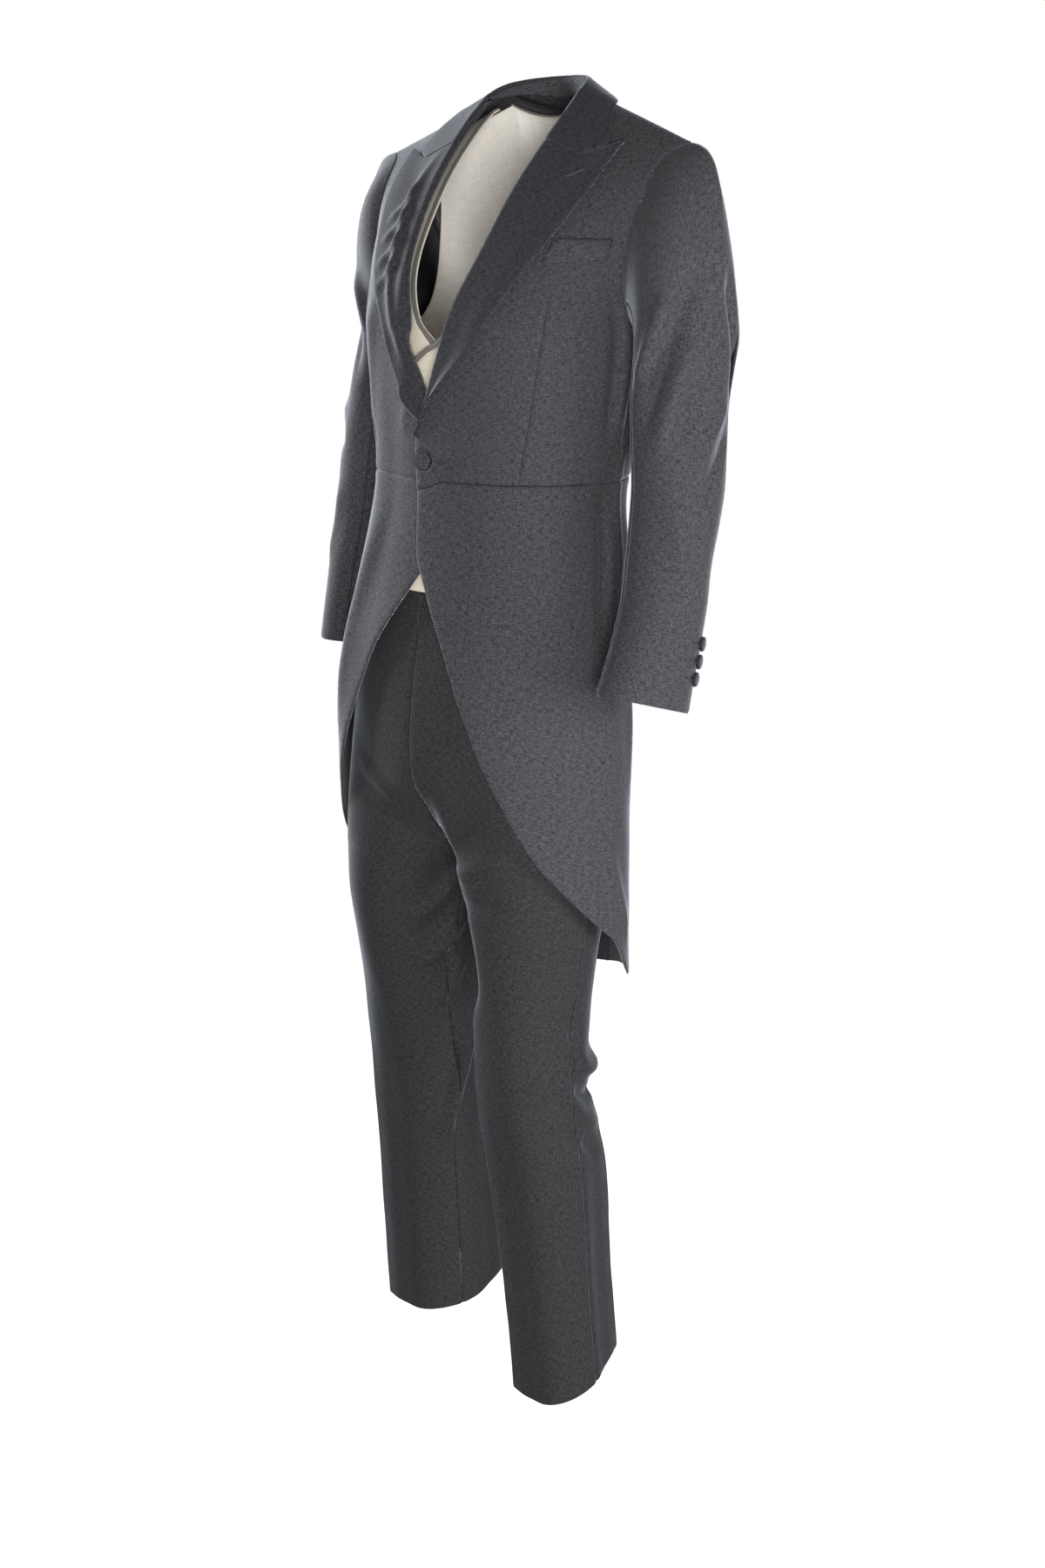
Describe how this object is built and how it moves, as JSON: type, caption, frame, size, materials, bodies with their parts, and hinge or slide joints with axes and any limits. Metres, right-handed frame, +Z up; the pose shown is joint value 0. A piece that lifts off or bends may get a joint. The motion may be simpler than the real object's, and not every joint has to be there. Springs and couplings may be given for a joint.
{
  "type": "morning suit",
  "caption": "Man's morning suit as worn: cutaway tailcoat with peaked lapels, crossover waistcoat with piped neck, plain straight trousers.",
  "frame": {"origin": "middle of the neck, level with the ends of the wearer's shoulders, where the suit hangs from them", "axes": "+Z up, -Y towards the wearer's front, +X towards the wearer's left"},
  "size_m": [0.5551, 0.3, 1.4605],
  "materials": {
    "charcoal_wool": "matte",
    "dark_charcoal_wool": "matte",
    "ivory_twill": "matte",
    "grey_satin": "satin"
  },
  "bodies": {
    "root": {"coat_chest_welt": "charcoal_wool", "coat_collar_fall": "charcoal_wool", "coat_collar_stand": "charcoal_wool", "coat_front_button": "charcoal_wool", "coat_left_back": "charcoal_wool", "coat_left_cuff_button_1": "charcoal_wool", "coat_left_cuff_button_2": "charcoal_wool", "coat_left_cuff_button_3": "charcoal_wool", "coat_left_forepart": "charcoal_wool", "coat_left_lapel": "charcoal_wool", "coat_left_side_body": "charcoal_wool", "coat_left_skirt": "charcoal_wool", "coat_left_top_sleeve": "charcoal_wool", "coat_left_under_sleeve": "charcoal_wool", "coat_right_back": "charcoal_wool", "coat_right_cuff_button_1": "charcoal_wool", "coat_right_cuff_button_2": "charcoal_wool", "coat_right_cuff_button_3": "charcoal_wool", "coat_right_forepart": "charcoal_wool", "coat_right_lapel": "charcoal_wool", "coat_right_side_body": "charcoal_wool", "coat_right_skirt": "charcoal_wool", "coat_right_top_sleeve": "charcoal_wool", "coat_right_under_sleeve": "charcoal_wool", "trouser_left_back": "dark_charcoal_wool", "trouser_left_front": "dark_charcoal_wool", "trouser_left_waistband": "dark_charcoal_wool", "trouser_right_back": "dark_charcoal_wool", "trouser_right_front": "dark_charcoal_wool", "trouser_right_waistband": "dark_charcoal_wool", "waistcoat_back": "ivory_twill", "waistcoat_back_piping": "grey_satin", "waistcoat_left_front": "ivory_twill", "waistcoat_left_piping": "grey_satin", "waistcoat_right_front": "ivory_twill", "waistcoat_right_piping": "grey_satin"}
  },
  "joints": []
}
